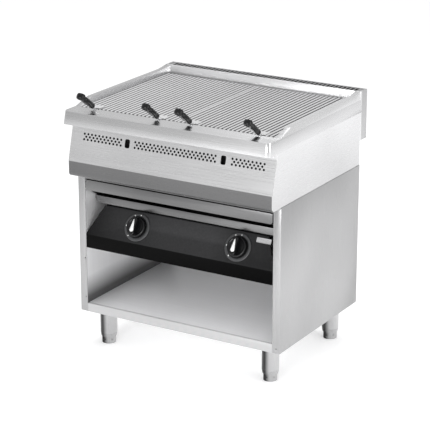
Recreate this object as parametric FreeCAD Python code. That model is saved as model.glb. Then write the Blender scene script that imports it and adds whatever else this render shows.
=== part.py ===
import FreeCAD, Part
import math
import os

# Gas charbroiler on an open cabinet, millimetres, +Z up, the front faces -Y.
# Work frame while building: x = 0 at the middle, y = 0 at the front lip, z = 0 at the floor.
V = FreeCAD.Vector

# overall sizes
WIDTH = 800.0
DEPTH = 700.0
WORK_H = 873.0

# sheet and worktop
SHEET = 1.5
TOP_SHEET = 2.0
LIP_H = 45.0
LIP_LEAN = 8.0
SIDE_FLARE = 3.5
CORNER_R = 16.0
STRIP_D = 76.0
RIM_RISE = 20.0
RIM_RAMP = 68.0
RIM_W = 20.0
WELL_DROP = 23.0
WELL_R = 6.0

# flue upstand
FLUE_D = 50.0
FLUE_RISE = 27.0
FLUE_H = 175.0
VENT_FRONT = 5.0
VENT_D = 38.0
VENT_PITCH = 15.6
VENT_SLOT = 10.0
RIM_SWEEP = 52.0
RIM_SWEEP_R = 260.0

# broiler body
BODY_INSET = 3.3
BODY_DROP = 235.0
SLOPE_TOP_Y = 58.0
SLOPE_TOP_DROP = 65.0
SLOPE_FOOT_Y = 28.5
SLOPE_FOOT_DROP = 180.0
BELLY_R = 14.0
PERF_D = 8.0
PERF_PITCH = 14.8
PERF_ROWS = (20.0, 29.4, 38.8)
PERF_LEFT_EDGE = 52.0
PERF_RIGHT_EDGE = 40.0
PEEP_LEFT_X = -170.0
PEEP_RIGHT_X = 202.0
PEEP_W = 19.0
PEEP_H = 30.0
PEEP_DOWN = 29.6
PEEP_MARGIN = 21.0

# firebox
LINER_WALL_Y = 83.0
LINER_TOP_DROP = 23.0
LINER_H = 115.0
LINER_KNEE = 55.0
LINER_TUCK = 38.0
LINER_REAR_GAP = 10.0
FUNNEL_H = 179.0
FUNNEL_FRONT_Y = 155.0
FUNNEL_REAR_TUCK = 12.0
FUNNEL_SIDE_TUCK = 40.0

# grates
BAR_D = 9.3
BAR_PITCH = 15.8
BAR_PROUD = 0.6
BAR_FRONT_Y = 84.0
BAR_REAR_GAP = 17.0
ROD_D = 8.0
ROD_BITE = 1.15
ROD_REAR_IN = 17.0
ROD_FRONT_Y = 114.0
GRATE_SIDE_GAP = 1.6
REST_GAP = 0.3
HOOK_T = 3.0
HOOK_BAR = 4
HOOK_SLACK = 0.3
TANG_W = 36.0
TANG_L = 32.0
TANG_T = 3.0
TONGUE_W = 13.0
CORE_D = 6.4
CORE_L = 56.0
GRIP_TILT = 35.0
GRIP_L = 85.0
GRIP_W = 29.0
GRIP_T = 22.0
GRIP_NECK_W = 17.0
GRIP_EDGE_R = 7.5
GRIP_START = 9.0
EYE_W = 10.0
EYE_L = 13.0
HANDLE_OUTER_IN = 56.0
HANDLE_INNER_X = 63.0

# burners
BURNER_DOWN = 121.5
BURNER_D = 32.0
BURNER_SPREAD = 84.0
BURNER_REAR_GAP = 90.0
VENTURI_D = 28.0
PORT_D = 3.2
PORT_PITCH = 22.0
RADIANT_T = 3.0
RADIANT_RISE = 30.0
RADIANT_DOWN = 78.0
RADIANT_HALF = 75.0
PIPE_D = 10.0
PIPE_RUN_OFF = 40.0
PIPE_REAR_GAP = 18.0
PIPE_CROSS_DOWN = 173.0
PIPE_OVER_RAIL = 20.0

# cabinet
CAB_INSET = 1.5
STILE_W = 28.0
CAB_FRONT_Y = 85.6
LEG_H = 128.0
FLOOR_RAIL = 32.0
BACK_IN = 1.5

# console
FASCIA_BOTTOM_DROP = 506.0
FASCIA_H = 49.0
CONSOLE_TOP_DROP = 360.0
CONSOLE_TOP_Y = 139.6
CONSOLE_CUT = 46.0
KNOB_MID_X = 24.0
KNOB_SPACING = 398.0
KNOB_DOWN = 54.5
BEZEL_R = 49.0
BEZEL_IN_R = 38.0
BEZEL_T = 5.0
DOT_R = 2.4
DOT_AT = 42.5
DOT_ANGLES = (-6.0, 25.0, 90.0, 142.0)
SKIRT_R = 36.0
SKIRT_T = 12.0
KNOB_LIFT = 5.5
GRIP_BAR_W = 20.0
GRIP_BAR_L = 64.0
GRIP_BAR_TOP = 36.0
PUSH = 4.0
STEM_D = 8.0
RUN_GAP = 0.05
STEM_OUT = 27.0
STEM_IN = 30.0
VALVE_D = 38.0
VALVE_FROM = 10.0
PLUG_D = 18.0
PLUG_FROM = 14.0
PLUG_TO = 50.0
MANIFOLD_IN = 71.2
MANIFOLD_D = 21.0
INLET_SIDE = 70.0
SUPPLY_D = 18.0
THREAD_D = 20.96
THREAD_L = 20.0
THREAD_IN = 6.0
BADGE_W = 55.0
BADGE_H = 17.0
BADGE_SIDE = 60.0
BADGE_DOWN = 17.0

# drawer
FRONT_TOP_DROP = 259.0
FRONT_H = 37.0
FRONT_GAP = 4.0
TRAY_TOP_DROP = 329.0
TRAY_DEEP = 25.0
TRAY_FRONT_Y = 140.5
TRAY_REAR_GAP = 104.0
TRAY_SIDE = 18.5
TRAY_RIM = 10.0
FACE_SIDE = 6.5
ARM_T = 1.5
ARM_SIDE = 13.5
RUNNER_Y = 146.0
SLIDE_GAP = 0.3

# legs
LEG_D = 60.0
LEG_WALL = 2.0
LEG_SIDE_GAP = 1.0
LEG_FRONT_Y = 152.0
LEG_REAR_IN = 110.0
FOOT_H = 38.0
FOOT_TAPER = 12.0
FOOT_R = 27.5
STUD_D = 16.0
STUD_L = 80.0
PLATE = 80.0
PLATE_T = 3.0
BOLT_D = 8.0
BOLT_PITCH = 62.0

# derived levels
HALF = WIDTH / 2
REAR_Y = DEPTH - FLUE_D
LIP_Z = WORK_H - LIP_H
RIM_Z = WORK_H + RIM_RISE
TOP_Z = WORK_H + FLUE_RISE
BODY_Z = WORK_H - BODY_DROP
BODY_X = HALF - BODY_INSET
BODY_IN = BODY_X - SHEET
WELL_X = HALF - SIDE_FLARE - RIM_W
WELL_Y = STRIP_D + 2 * TOP_SHEET
WELL_Z = WORK_H - WELL_DROP
LINER_Z = WELL_Z - LINER_H
LINER_X = WELL_X + TOP_SHEET
LINER_REAR = REAR_Y - LINER_REAR_GAP
BAR_Z = WORK_H + BAR_PROUD - BAR_D / 2
BAR_REAR_Y = REAR_Y - BAR_REAR_GAP
ROD_Z = BAR_Z - BAR_D / 2 - ROD_D / 2 + ROD_BITE
ROD_Y = BAR_REAR_Y - ROD_REAR_IN
GRATE_W = WELL_X - 2 * GRATE_SIDE_GAP
CAB_X = HALF - CAB_INSET
CAB_IN = CAB_X - STILE_W
FLOOR_Z = LEG_H + FLOOR_RAIL
BACK_Y = REAR_Y - SHEET - BACK_IN
FASCIA_Z = WORK_H - FASCIA_BOTTOM_DROP
BEND_Z = FASCIA_Z + FASCIA_H
CONSOLE_Z = WORK_H - CONSOLE_TOP_DROP
RISE = CONSOLE_Z - BEND_Z
RUN = CONSOLE_TOP_Y - CAB_FRONT_Y
SLANT = math.hypot(RISE, RUN)
OUT = V(0, -RISE / SLANT, RUN / SLANT)
DOWN = V(0, -RUN / SLANT, -RISE / SLANT)
BURNER_Z = WORK_H - BURNER_DOWN
ZONE_X = WELL_X / 2
TRAY_Z = WORK_H - TRAY_TOP_DROP


def box(x0, x1, y0, y1, z0, z1):
    return Part.makeBox(x1 - x0, y1 - y0, z1 - z0, V(x0, y0, z0))


def cyl(base, axis, radius, length):
    return Part.makeCylinder(radius, length, base, axis)


def rounded_wire(points, radii):
    # closed plane outline with a tangent arc at every corner whose radius is not zero
    n = len(points)
    ends = []
    for i in range(n):
        p, a, b = points[i], points[i - 1], points[(i + 1) % n]
        u = (a - p).normalize()
        w = (b - p).normalize()
        half = u.getAngle(w) / 2
        if radii[i] <= 0 or abs(half - math.pi / 2) < 1e-4:
            ends.append((p, None, p))
            continue
        reach = radii[i] / math.tan(half)
        mid = p + (u + w).normalize() * (radii[i] / math.sin(half) - radii[i])
        ends.append((p + u * reach, mid, p + w * reach))
    edges = []
    for i in range(n):
        first, mid, last = ends[i]
        if mid is not None:
            edges.append(Part.Arc(first, mid, last).toShape())
        start = ends[(i + 1) % n][0]
        if last.distanceToPoint(start) > 1e-6:
            edges.append(Part.makeLine(last, start))
    return Part.Wire(edges)


def plate(points, radii, push):
    face = Part.Face(rounded_wire(points, radii))
    return face.extrude(push)


def prism_x(yz, x0, x1, radii=None):
    pts = [V(x0, y, z) for y, z in yz]
    return plate(pts, radii or [0] * len(pts), V(x1 - x0, 0, 0))


def prism_y(xz, y0, y1, radii=None):
    pts = [V(x, y0, z) for x, z in xz]
    return plate(pts, radii or [0] * len(pts), V(0, y1 - y0, 0))


def bent_face(path, thick, inner_r):
    # folded sheet: the path is one face of the sheet, the metal lies to its left
    n = len(path)
    side = []
    outer_r = [0] * n
    inner = [0] * n
    for i in range(n):
        if i == 0 or i == n - 1:
            a, b = (path[0], path[1]) if i == 0 else (path[n - 2], path[n - 1])
            ux, uy = b[0] - a[0], b[1] - a[1]
            ln = math.hypot(ux, uy)
            side.append((path[i][0] - uy / ln * thick, path[i][1] + ux / ln * thick))
            continue
        ax, ay = path[i][0] - path[i - 1][0], path[i][1] - path[i - 1][1]
        bx, by = path[i + 1][0] - path[i][0], path[i + 1][1] - path[i][1]
        la, lb = math.hypot(ax, ay), math.hypot(bx, by)
        nx, ny = -ay / la - by / lb, ax / la + bx / lb
        k = thick * 2 / (nx * nx + ny * ny)
        side.append((path[i][0] + nx * k, path[i][1] + ny * k))
        left_turn = ax * by - ay * bx > 0
        outer_r[i] = inner_r[i] + thick if left_turn else inner_r[i]
        inner[i] = inner_r[i] if left_turn else inner_r[i] + thick
    points = list(path) + side[::-1]
    return points, outer_r + inner[::-1]


def sheet_x(path, thick, inner_r, x0, x1):
    points, radii = bent_face(path, thick, inner_r)
    return prism_x(points, x0, x1, radii)


def sheet_y(path, thick, inner_r, y0, y1):
    points, radii = bent_face(path, thick, inner_r)
    return prism_y(points, y0, y1, radii)


def mirror_x(shape):
    return shape.mirror(V(0, 0, 0), V(1, 0, 0))


def fuse(shapes):
    return shapes[0].multiFuse(shapes[1:]).removeSplitter()


def tub(z0, z1, low, high, grow):
    # ruled block between two plan outlines (half width, front, rear), rounded at the front corners
    wires = []
    for z, (half, front, rear) in ((z0, low), (z1, high)):
        half, front = half - grow, front + grow
        pts = [V(-half, rear, z), V(-half, front, z), V(half, front, z), V(half, rear, z)]
        r = CORNER_R - grow
        wires.append(rounded_wire(pts, [0, r, r, 0]))
    return Part.makeLoft(wires, True, True)


def worktop():
    # one pressed top: leaning lip, front strip, raised side rims and the drop of the grate well
    share = (TOP_Z - LIP_Z) / LIP_H
    low = (HALF, 0.0, REAR_Y)
    high = (HALF - SIDE_FLARE * share, LIP_LEAN * share, REAR_Y)
    ramp = WELL_Y + RIM_RAMP

    def under(drop):
        return prism_x([(-1, LIP_Z - 1), (REAR_Y + 1, LIP_Z - 1), (REAR_Y + 1, TOP_Z - drop),
                        (REAR_Y - RIM_SWEEP, RIM_Z - drop), (ramp, RIM_Z - drop),
                        (WELL_Y, WORK_H - drop), (-1, WORK_H - drop)],
                       -HALF, HALF, [0, 0, 0, RIM_SWEEP_R, 30, 0, 0])
    solid = tub(LIP_Z, TOP_Z, low, high, 0).common(under(0))
    hollow = tub(LIP_Z, TOP_Z, low, high, TOP_SHEET).common(under(TOP_SHEET))
    shell = solid.cut(hollow)
    edge = box(-HALF + 12, HALF - 12, 2.4, 14.0, LIP_Z, LIP_Z + TOP_SHEET)
    out_x, out_y = WELL_X + TOP_SHEET, WELL_Y - TOP_SHEET
    wall = box(-out_x, out_x, out_y, REAR_Y, WELL_Z, TOP_Z).common(solid)
    hole = [V(-WELL_X, WELL_Y, WELL_Z - 1), V(WELL_X, WELL_Y, WELL_Z - 1),
            V(WELL_X, REAR_Y + 1, WELL_Z - 1), V(-WELL_X, REAR_Y + 1, WELL_Z - 1)]
    well = plate(hole, [WELL_R, WELL_R, 0, 0], V(0, 0, TOP_Z - WELL_Z + 5))
    return shell.fuse(wall).fuse(edge).cut(well).removeSplitter()


def flue_duct():
    # welded chimney box behind the grates, fed through a slot from the firebox
    half = HALF - SIDE_FLARE
    low = TOP_Z - FLUE_H
    body = box(-half, half, REAR_Y, DEPTH, low, TOP_Z)
    body = body.cut(box(-half + SHEET, half - SHEET, REAR_Y + SHEET, DEPTH - SHEET,
                        low + SHEET, TOP_Z - SHEET))
    vent = REAR_Y + VENT_FRONT
    body = body.cut(box(-half + 8, half - 8, vent, vent + VENT_D, TOP_Z - 5, TOP_Z + 1))
    gas = box(-WELL_X + 60, WELL_X - 60, REAR_Y - 1, REAR_Y + 3, WELL_Z - 40, WELL_Z - 10)
    return body.cut(gas)


def flue_grille():
    # vent strip under the duct's top opening, cross slots at a regular pitch
    half = HALF - SIDE_FLARE - SHEET
    z = TOP_Z - SHEET
    strip = box(-half, half, REAR_Y + SHEET, DEPTH - SHEET, z - 2, z)
    mid = REAR_Y + VENT_FRONT + VENT_D / 2
    reach, w = VENT_D / 2 - 1, VENT_SLOT / 2
    count = int((2 * half - 30) / VENT_PITCH)
    slots = []
    for i in range(count):
        x = (i - (count - 1) / 2) * VENT_PITCH
        pts = [V(x - w, mid - reach, z - 3), V(x + w, mid - reach, z - 3),
               V(x + w, mid + reach, z - 3), V(x - w, mid + reach, z - 3)]
        slots.append(plate(pts, [3, 3, 3, 3], V(0, 0, 4)))
    return strip.cut(Part.makeCompound(slots))


def body_outline(top):
    return [(REAR_Y, BODY_Z), (REAR_Y, top), (SLOPE_TOP_Y, top),
            (SLOPE_TOP_Y, WORK_H - SLOPE_TOP_DROP), (SLOPE_FOOT_Y, WORK_H - SLOPE_FOOT_DROP),
            (SLOPE_FOOT_Y, BODY_Z)]


def broiler_side(sign):
    # flat side sheet with an inward foot flange
    top = LIP_Z + 9
    side = prism_x(body_outline(top), BODY_IN, BODY_X, [0, 0, 0, 3, 3, BELLY_R])
    foot = box(BODY_IN - 20, BODY_IN + 0.5, STRIP_D + 50, REAR_Y - SHEET, BODY_Z, BODY_Z + SHEET)
    whole = side.fuse(foot).removeSplitter()
    return whole if sign > 0 else mirror_x(whole)


def front_panel():
    # folded front: vertical hem, perforated slope, vertical band and rounded underside
    top_z = WORK_H - SLOPE_TOP_DROP
    foot_z = WORK_H - SLOPE_FOOT_DROP
    path = [(SLOPE_TOP_Y, LIP_Z + 9), (SLOPE_TOP_Y, top_z), (SLOPE_FOOT_Y, foot_z),
            (SLOPE_FOOT_Y, BODY_Z), (SLOPE_FOOT_Y + 84, BODY_Z)]
    panel = sheet_x(path, SHEET, [0, 2, 2, BELLY_R - SHEET, 0], -BODY_IN, BODY_IN)
    dy, dz = SLOPE_FOOT_Y - SLOPE_TOP_Y, foot_z - top_z
    ln = math.hypot(dy, dz)
    down = V(0, dy / ln, dz / ln)
    out = V(0, dz / ln, -dy / ln)
    start = V(0, SLOPE_TOP_Y, top_z)
    cuts = []
    groups = ((-HALF + PERF_LEFT_EDGE, PEEP_LEFT_X - PEEP_MARGIN),
              (PEEP_LEFT_X + PEEP_MARGIN, PEEP_RIGHT_X - PEEP_MARGIN),
              (PEEP_RIGHT_X + PEEP_MARGIN + 6, HALF - PERF_RIGHT_EDGE))
    for left, right in groups:
        for row, s in enumerate(PERF_ROWS):
            count = int((right - left - PERF_D) / PERF_PITCH) + (1 if row % 2 == 0 else 0)
            first = (left + right) / 2 - (count - 1) * PERF_PITCH / 2
            for i in range(count):
                at = start + down * s + V(first + i * PERF_PITCH, 0, 0) - out * 4
                cuts.append(cyl(at, out, PERF_D / 2, 8))
    for x in (PEEP_LEFT_X, PEEP_RIGHT_X):
        mid = start + down * PEEP_DOWN + V(x, 0, 0) - out * 4
        corners = [mid + V(sx * PEEP_W / 2, 0, 0) + down * (sy * PEEP_H / 2)
                   for sx, sy in ((-1, -1), (1, -1), (1, 1), (-1, 1))]
        cuts.append(plate(corners, [6, 6, 6, 6], out * 8))
    return panel.cut(Part.makeCompound(cuts))


def broiler_back():
    # rear sheet of the broiler below the flue box
    return box(-BODY_IN, BODY_IN, REAR_Y - SHEET, REAR_Y, BODY_Z, TOP_Z - FLUE_H + 15)


def firebox_liner():
    # four-walled heat lining under the well, its rear wall tucked in behind the burners
    front, rear = LINER_WALL_Y, LINER_REAR
    knee, tuck = LINER_Z + LINER_KNEE, rear - LINER_TUCK
    outer = [(front, LINER_Z), (tuck, LINER_Z), (rear, knee), (rear, WELL_Z), (front, WELL_Z)]
    t = SHEET
    inner = [(front + t, LINER_Z - 1), (tuck - t * 1.2, LINER_Z - 1), (rear - t, knee + 0.4),
             (rear - t, WELL_Z + 1), (front + t, WELL_Z + 1)]
    wall = prism_x(outer, -LINER_X, LINER_X).cut(prism_x(inner, -LINER_X + t, LINER_X - t))
    flange = box(-LINER_X - 5, LINER_X + 5, front - 5, rear + 5, WELL_Z - t, WELL_Z)
    flange = flange.cut(box(-LINER_X + t, LINER_X - t, front + t, rear - t, WELL_Z - 5, WELL_Z + 1))
    gas = box(-WELL_X + 60, WELL_X - 60, rear - 3, rear + 1, WELL_Z - 40, WELL_Z - 10)
    body = wall.fuse(flange).cut(gas)
    for side in (-1, 1):
        hole = cyl(V(side * ZONE_X, rear - LINER_TUCK - 20, BURNER_Z), V(0, 1, 0), VENTURI_D / 2, 60)
        body = body.cut(hole)
    return body.removeSplitter()


def fat_funnel():
    # sloped chute that leads dripping fat from the firebox into the drip tray
    z0, z1 = LINER_Z - FUNNEL_H, LINER_Z
    rear = LINER_REAR - LINER_TUCK

    def ring(z, half, y0, y1):
        return Part.makePolygon([V(-half, y0, z), V(half, y0, z), V(half, y1, z),
                                 V(-half, y1, z), V(-half, y0, z)])
    low = LINER_X - FUNNEL_SIDE_TUCK
    outer = Part.makeLoft([ring(z0, low, FUNNEL_FRONT_Y, rear - FUNNEL_REAR_TUCK),
                           ring(z1, LINER_X, LINER_WALL_Y, rear)], True, True)
    t = SHEET * 1.1
    inner = Part.makeLoft([ring(z0, low - t, FUNNEL_FRONT_Y + t, rear - FUNNEL_REAR_TUCK - t),
                           ring(z1, LINER_X - t, LINER_WALL_Y + t, rear - t)], True, True)
    return outer.cut(inner)


def grate_rest_bar():
    # folded ledge under the front ends of the bars
    z = BAR_Z - BAR_D / 2 - REST_GAP
    path = [(WELL_Y, WELL_Z), (WELL_Y, z), (WELL_Y + 20, z)]
    pts, radii = bent_face(path[::-1], SHEET, [0, 1, 0])
    return prism_x(pts, -WELL_X + WELL_R + 1, WELL_X - WELL_R - 1, radii)


def bar_xs(sign):
    count = int((GRATE_W - BAR_D) / BAR_PITCH) + 1
    first = -(count - 1) * BAR_PITCH / 2
    mid = sign * (GRATE_W / 2 + GRATE_SIDE_GAP)
    return [mid + first + i * BAR_PITCH for i in range(count)]


def hook_xs():
    out = []
    for sign in (-1, 1):
        xs = bar_xs(sign)
        out += [xs[HOOK_BAR] + BAR_PITCH / 2, xs[-HOOK_BAR - 1] - BAR_PITCH / 2]
    return out


def grate_cradle_rail():
    # strip on the rear wall with open hooks that carry the rear rod of each grate
    wall = LINER_REAR - SHEET
    reach = WELL_X - GRATE_SIDE_GAP
    strip = box(-reach, reach, wall - 2, wall, WELL_Z - 8, WELL_Z + 4)
    slot = ROD_D / 2 + HOOK_SLACK
    parts = [strip]
    for x in hook_xs():
        arm = prism_x([(wall - 1, WELL_Z - 8), (wall - 1, WELL_Z + 4), (ROD_Y + slot + 2.5, ROD_Z + 5),
                       (ROD_Y - slot - 2.5, ROD_Z + 5), (ROD_Y - slot - 2.5, ROD_Z - slot - 3),
                       (ROD_Y + 10, WELL_Z - 8)], x - HOOK_T / 2, x + HOOK_T / 2)
        arm = arm.cut(cyl(V(x - 5, ROD_Y, ROD_Z), V(1, 0, 0), slot, 10))
        parts.append(arm.cut(box(x - 5, x + 5, ROD_Y - slot, ROD_Y + slot, ROD_Z, ROD_Z + 9)))
    return fuse(parts)


def handle_xs(sign):
    return [sign * HANDLE_INNER_X, sign * (WELL_X - HANDLE_OUTER_IN)]


def grip_axis():
    tilt = math.radians(GRIP_TILT)
    start = V(0, BAR_FRONT_Y - 4, WORK_H + 4.5)
    return start, V(0, -math.cos(tilt), math.sin(tilt))


def grate(sign):
    # welded grate: round bars front to back on three cross rods, with the two handle tangs
    xs = bar_xs(sign)
    parts = [cyl(V(x, BAR_FRONT_Y, BAR_Z), V(0, 1, 0), BAR_D / 2, BAR_REAR_Y - BAR_FRONT_Y) for x in xs]
    for y in (ROD_Y, (ROD_FRONT_Y + ROD_Y) / 2, ROD_FRONT_Y):
        parts.append(cyl(V(xs[0], y, ROD_Z), V(1, 0, 0), ROD_D / 2, xs[-1] - xs[0]))
    start, way = grip_axis()
    low = WORK_H + BAR_PROUD / 2
    for x in handle_xs(sign):
        parts.append(box(x - TANG_W / 2, x + TANG_W / 2, BAR_FRONT_Y, BAR_FRONT_Y + TANG_L, low, low + TANG_T))
        parts.append(box(x - TONGUE_W / 2, x + TONGUE_W / 2, BAR_FRONT_Y - 6, BAR_FRONT_Y + 2,
                         low, low + TANG_T + 3.4))
        parts.append(cyl(V(x, 0, 0) + start, way, CORE_D / 2, CORE_L))
    return fuse(parts)


def grip(x):
    # moulded bakelite handle with an eye, pushed onto the tang's core
    start, way = grip_axis()
    up = V(0, way.z, -way.y)
    base = V(x, 0, 0) + start + way * GRIP_START - up * (GRIP_T / 2)
    side = V(1, 0, 0)

    def at(along, across):
        return base + way * along + side * across
    n, w = GRIP_NECK_W / 2, GRIP_W / 2
    outline = [at(0, -n), at(14, -n), at(34, -w), at(GRIP_L + w, -w),
               at(GRIP_L + w, w), at(34, w), at(14, n), at(0, n)]
    body = plate(outline, [2, 10, 20, w - 0.5, w - 0.5, 20, 10, 2], up * GRIP_T)
    body = body.makeFillet(GRIP_EDGE_R, [e for e in body.Edges if abs(e.tangentAt(e.FirstParameter).dot(up)) < 0.5])
    eye = [at(GRIP_L - EYE_L / 2 + dx * EYE_L, dy * EYE_W / 2) - up for dx, dy in ((0, -1), (1, -1), (1, 1), (0, 1))]
    body = body.cut(plate(eye, [EYE_W / 2 - 0.2] * 4, up * (GRIP_T + 2)))
    return body.cut(cyl(V(x, 0, 0) + start, way, CORE_D / 2, CORE_L))


def burner(sign):
    # two ported tubes joined to a venturi tube that enters through the rear wall
    x = sign * ZONE_X
    front = LINER_WALL_Y + SHEET
    rear = REAR_Y - BURNER_REAR_GAP
    mouth = LINER_REAR - LINER_TUCK + 16
    cross = (front + rear) / 2
    r, rv = BURNER_D / 2, VENTURI_D / 2

    def skeleton(cut, end):
        parts = []
        for side in (-1, 1):
            parts.append(cyl(V(x + side * BURNER_SPREAD, front + end, BURNER_Z), V(0, 1, 0), r - cut,
                             rear - front - 2 * end))
        parts.append(cyl(V(x - BURNER_SPREAD, cross, BURNER_Z), V(1, 0, 0), rv - cut, 2 * BURNER_SPREAD))
        parts.append(cyl(V(x, cross, BURNER_Z), V(0, 1, 0), rv - cut, mouth - cross + (1 if cut else 0)))
        return fuse(parts)
    body = skeleton(0, 0).cut(skeleton(SHEET, SHEET))
    ports = []
    count = int((rear - front - 60) / PORT_PITCH)
    for side in (-1, 1):
        for i in range(count):
            at = V(x + side * BURNER_SPREAD, front + 30 + i * PORT_PITCH, BURNER_Z + r - 4)
            ports.append(cyl(at, V(0, 0, 1), PORT_D / 2, 8))
    return body.cut(Part.makeCompound(ports))


def radiant(sign):
    # folded heat plate like two roofs side by side above the burner tubes
    x = sign * ZONE_X
    z = WORK_H - RADIANT_DOWN
    peak = z + RADIANT_RISE
    far, near = BURNER_SPREAD + RADIANT_HALF, BURNER_SPREAD - RADIANT_HALF
    path = [(x + far, z), (x + BURNER_SPREAD, peak), (x + near, z), (x - near, z),
            (x - BURNER_SPREAD, peak), (x - far, z)]
    return sheet_y(path, RADIANT_T, [0, 3, 2, 2, 3, 0], LINER_WALL_Y + SHEET, LINER_REAR - SHEET)


def tube_run(points, radius, bore):
    # bent pipe: straight lengths with ball elbows, bored through
    def solid(r, grow):
        parts = []
        for i in range(len(points) - 1):
            a, b = points[i], points[i + 1]
            way = (b - a).normalize()
            a = a - way * grow if i == 0 else a
            b = b + way * grow if i == len(points) - 2 else b
            parts.append(cyl(a, way, r, (b - a).Length))
            if i > 0:
                parts.append(Part.makeSphere(r, points[i]))
        return fuse(parts)
    return solid(radius, 0).cut(solid(bore, 1))


def knob_x(sign):
    return KNOB_MID_X + sign * KNOB_SPACING / 2


def knob_origin(sign):
    return V(knob_x(sign), CONSOLE_TOP_Y, CONSOLE_Z) + DOWN * KNOB_DOWN


def feed_pipe(sign):
    # gas pipe from the valve, under the tray, up behind it to the injector in the venturi mouth
    side = knob_origin(sign) - OUT * 38
    run = side.x - PIPE_RUN_OFF
    y, zone = REAR_Y - PIPE_REAR_GAP, sign * ZONE_X
    z_cross = WORK_H - PIPE_CROSS_DOWN
    nozzle = LINER_REAR - LINER_TUCK + 18
    z_over = manifold_axis().z + MANIFOLD_D / 2 + PIPE_D / 2 + PIPE_OVER_RAIL
    pts = [V(side.x - VALVE_D / 2, side.y, side.z), V(run, side.y, side.z), V(run, side.y, z_over),
           V(run, y, z_over), V(run, y, z_cross), V(zone, y, z_cross), V(zone, y, BURNER_Z), V(zone, nozzle, BURNER_Z)]
    pipe = tube_run(pts, PIPE_D / 2, PIPE_D / 2 - 1.2)
    nut = cyl(V(zone, nozzle, BURNER_Z), V(0, 1, 0), 8, 7)
    return pipe.fuse(nut.cut(cyl(V(zone, nozzle - 1, BURNER_Z), V(0, 1, 0), 1.0, 12))).removeSplitter()


def manifold_axis():
    return knob_origin(1) - OUT * MANIFOLD_IN


def manifold():
    # gas rail behind the knobs, closed at the left end
    at = manifold_axis()
    x0, x1 = knob_x(-1) - 40, CAB_IN - INLET_SIDE
    pipe = cyl(V(x0, at.y, at.z), V(1, 0, 0), MANIFOLD_D / 2, x1 - x0)
    bore = cyl(V(x0 + 3, at.y, at.z), V(1, 0, 0), MANIFOLD_D / 2 - 2.5, x1 - x0 + 1)
    return pipe.cut(bore)


def gas_inlet():
    # elbow and pipe to the threaded supply end at the back, with its bulkhead collar
    at = manifold_axis()
    x0 = CAB_IN - INLET_SIDE
    x, end = x0 + 25, DEPTH - THREAD_IN
    bore = SUPPLY_D / 2 - 2.5
    pipe = tube_run([V(x0, at.y, at.z), V(x, at.y, at.z), V(x, end - THREAD_L, at.z)], SUPPLY_D / 2, bore)
    back = V(x, BACK_Y + SHEET, at.z)
    collar = cyl(back, V(0, 1, 0), SUPPLY_D / 2 + 8, 4)
    thread = cyl(V(x, end - THREAD_L, at.z), V(0, 1, 0), THREAD_D / 2, THREAD_L)
    ends = collar.fuse(thread).cut(cyl(back - V(0, 1, 0), V(0, 1, 0), bore, end - BACK_Y + 5))
    return pipe.fuse(ends).removeSplitter()


def valve_body(sign):
    # brass valve between the panel and the manifold, bored for the plug and the spindle
    o = knob_origin(sign)
    neck = cyl(o - OUT * VALVE_FROM, OUT, 10, VALVE_FROM - SHEET)
    barrel = cyl(o - OUT * MANIFOLD_IN, OUT, VALVE_D / 2, MANIFOLD_IN - VALVE_FROM)
    at = manifold_axis()
    rail = cyl(V(-WIDTH, at.y, at.z), V(1, 0, 0), MANIFOLD_D / 2, 2 * WIDTH)
    half = box(-WIDTH, WIDTH, at.y, at.y + 60, at.z - 60, at.z + 60)
    body = neck.fuse(barrel).cut(rail).cut(half)
    body = body.cut(cyl(o - OUT * (PLUG_TO + 0.3), OUT, PLUG_D / 2 + RUN_GAP, PLUG_TO - PLUG_FROM + 0.6))
    body = body.cut(cyl(o - OUT * 20, OUT, STEM_D / 2 + 0.4, 30))
    side = o - OUT * 38
    return body.cut(cyl(V(side.x - VALVE_D / 2 - 1, side.y, side.z), V(1, 0, 0), PIPE_D / 2 - 1.2, 12))


def valve_plug(sign):
    # turning plug with a socket for the sliding spindle
    o = knob_origin(sign)
    plug = cyl(o - OUT * PLUG_TO, OUT, PLUG_D / 2, PLUG_TO - PLUG_FROM)
    depth = STEM_IN + PUSH + 1
    return plug.cut(cyl(o - OUT * depth, OUT, STEM_D / 2 + RUN_GAP, depth))


def valve_stem(sign):
    o = knob_origin(sign)
    return cyl(o - OUT * STEM_IN, OUT, STEM_D / 2, STEM_IN + STEM_OUT)


def knob(sign):
    # round skirt with a raised finger bar, bored for the spindle
    o = knob_origin(sign)
    skirt = cyl(o + OUT * KNOB_LIFT, OUT, SKIRT_R, SKIRT_T)
    skirt = skirt.makeFillet(3, [e for e in skirt.Edges if len(e.Vertexes) == 1
                                 and (e.Curve.Center - o).dot(OUT) > KNOB_LIFT + 1])
    side = V(1, 0, 0)
    base = o + OUT * (KNOB_LIFT + SKIRT_T - 4)
    w, ln = GRIP_BAR_W / 2, GRIP_BAR_L / 2
    pts = [base + side * (sx * w) + DOWN * (sy * ln) for sx, sy in ((-1, -1), (1, -1), (1, 1), (-1, 1))]
    bar = plate(pts, [7, 7, 7, 7], OUT * (GRIP_BAR_TOP - KNOB_LIFT - SKIRT_T + 4))
    top = [e for e in bar.Edges if all((v.Point - o).dot(OUT) > GRIP_BAR_TOP - 0.1 for v in e.Vertexes)]
    bar = bar.makeFillet(2.5, top)
    return skirt.fuse(bar).cut(cyl(o, OUT, STEM_D / 2, STEM_OUT)).removeSplitter()


def knob_pointer(sign):
    # white teardrop inlay on the finger bar, tip at the top
    base = knob_origin(sign) + OUT * GRIP_BAR_TOP
    side = V(1, 0, 0)
    pts = [base - DOWN * 24, base + DOWN * 14 + side * 7.6, base + DOWN * 28 + side * 7.6,
           base + DOWN * 28 - side * 7.6, base + DOWN * 14 - side * 7.6]
    return plate(pts, [1, 20, 6.5, 6.5, 20], OUT * 0.8)


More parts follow.
